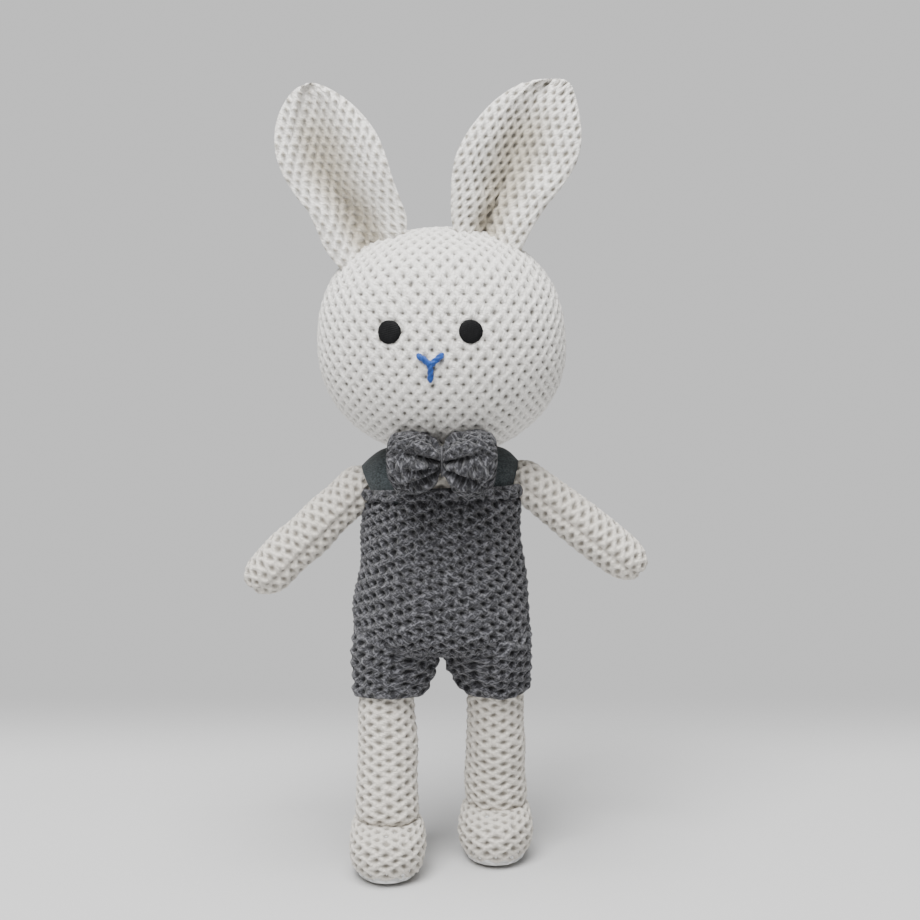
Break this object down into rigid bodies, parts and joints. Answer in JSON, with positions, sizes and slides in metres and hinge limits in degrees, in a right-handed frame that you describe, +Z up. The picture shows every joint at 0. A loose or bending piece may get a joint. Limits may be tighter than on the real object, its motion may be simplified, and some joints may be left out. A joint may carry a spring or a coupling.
{
  "type": "stuffed rabbit",
  "caption": "Standing knitted rabbit toy with long cupped ears, round head, soft limbs and booties, in knitted overalls with felt straps and a bow tie.",
  "frame": {"origin": "on the surface it stands on, midway between the outermost left and right, front and back", "axes": "+Z up from the soles to the ears, -Y the way the face looks, +X the viewer's right when facing the toy"},
  "size_m": [0.1935, 0.1052, 0.3817],
  "materials": {
    "white_knit": "off-white openwork honeycomb knit of soft matte cotton yarn",
    "grey_marl_knit": "dark and light grey marl yarn in the same openwork knit",
    "grey_felt": "smooth dark greenish grey felt tape",
    "polyester_stuffing": "white fibre filling",
    "black_thread": "black satin-stitch embroidery",
    "blue_thread": "mid-blue embroidery thread",
    "sewing_thread": "off-white sewing thread"
  },
  "bodies": {
    "torso": {"bow_thread": "sewing_thread", "bow_tie": "grey_marl_knit", "left_strap": "grey_felt", "overalls_back": "grey_marl_knit", "overalls_front": "grey_marl_knit", "right_strap": "grey_felt", "torso_back_skin": "white_knit", "torso_front_skin": "white_knit", "torso_stuffing": "polyester_stuffing"},
    "neck": {"neck_thread": "sewing_thread"},
    "head": {"head_back_panel": "white_knit", "head_front_panel": "white_knit", "head_stuffing": "polyester_stuffing", "left_eye": "black_thread", "nose_mouth_stitch": "blue_thread", "right_eye": "black_thread"},
    "left_ear": {"left_ear_back_panel": "white_knit", "left_ear_front_panel": "white_knit", "left_ear_wadding": "polyester_stuffing"},
    "left_shoulder": {"left_shoulder_thread": "sewing_thread"},
    "left_arm": {"left_arm_skin": "white_knit", "left_arm_stuffing": "polyester_stuffing"},
    "left_leg": {"left_bootie_sole": "white_knit", "left_bootie_stuffing": "polyester_stuffing", "left_bootie_upper": "white_knit", "left_leg_skin": "white_knit", "left_leg_stuffing": "polyester_stuffing", "left_shorts_leg": "grey_marl_knit"},
    "right_ear": {"right_ear_back_panel": "white_knit", "right_ear_front_panel": "white_knit", "right_ear_wadding": "polyester_stuffing"},
    "right_shoulder": {"right_shoulder_thread": "sewing_thread"},
    "right_arm": {"right_arm_skin": "white_knit", "right_arm_stuffing": "polyester_stuffing"},
    "right_leg": {"right_bootie_sole": "white_knit", "right_bootie_stuffing": "polyester_stuffing", "right_bootie_upper": "white_knit", "right_leg_skin": "white_knit", "right_leg_stuffing": "polyester_stuffing", "right_shorts_leg": "grey_marl_knit"}
  },
  "joints": [
    {"name": "neck_turn", "type": "hinge", "parent": "torso", "child": "neck", "pos_m": [0, 0, 0.2052], "axis": [0, 0, 1], "range_deg": [-35, 35], "stiffness_Nm_per_rad": 0.03},
    {"name": "neck_tip_back", "type": "hinge", "parent": "neck", "child": "head", "pos_m": [0, 0, 0.203], "axis": [-1, 0, 0], "range_deg": [0, 10], "stiffness_Nm_per_rad": 0.25},
    {"name": "left_ear_fold", "type": "hinge", "parent": "head", "child": "left_ear", "pos_m": [-0.03348, 0.004, 0.31128], "axis": [0.9026, 0, 0.4305], "range_deg": [-35, 60], "stiffness_Nm_per_rad": 0.03},
    {"name": "right_ear_fold", "type": "hinge", "parent": "head", "child": "right_ear", "pos_m": [0.0243, 0.004, 0.3152], "axis": [0.9205, 0, -0.3907], "range_deg": [-35, 60], "stiffness_Nm_per_rad": 0.03},
    {"name": "left_arm_swing", "type": "hinge", "parent": "torso", "child": "left_shoulder", "pos_m": [-0.0405, 0, 0.1885], "axis": [-1, 0, 0], "range_deg": [-60, 140]},
    {"name": "left_arm_lift", "type": "hinge", "parent": "left_shoulder", "child": "left_arm", "pos_m": [-0.0405, 0, 0.1885], "axis": [0, 1, 0], "range_deg": [-12, 70]},
    {"name": "right_arm_swing", "type": "hinge", "parent": "torso", "child": "right_shoulder", "pos_m": [0.0405, 0, 0.1915], "axis": [-1, 0, 0], "range_deg": [-60, 140]},
    {"name": "right_arm_lift", "type": "hinge", "parent": "right_shoulder", "child": "right_arm", "pos_m": [0.0405, 0, 0.1915], "axis": [0, -1, 0], "range_deg": [-18, 64]},
    {"name": "left_leg_swing", "type": "hinge", "parent": "torso", "child": "left_leg", "pos_m": [-0.0265, 0, 0.112], "axis": [-1, 0, 0], "range_deg": [-26, 82]},
    {"name": "right_leg_swing", "type": "hinge", "parent": "torso", "child": "right_leg", "pos_m": [0.0265, 0, 0.112], "axis": [-1, 0, 0], "range_deg": [-10, 98]}
  ]
}
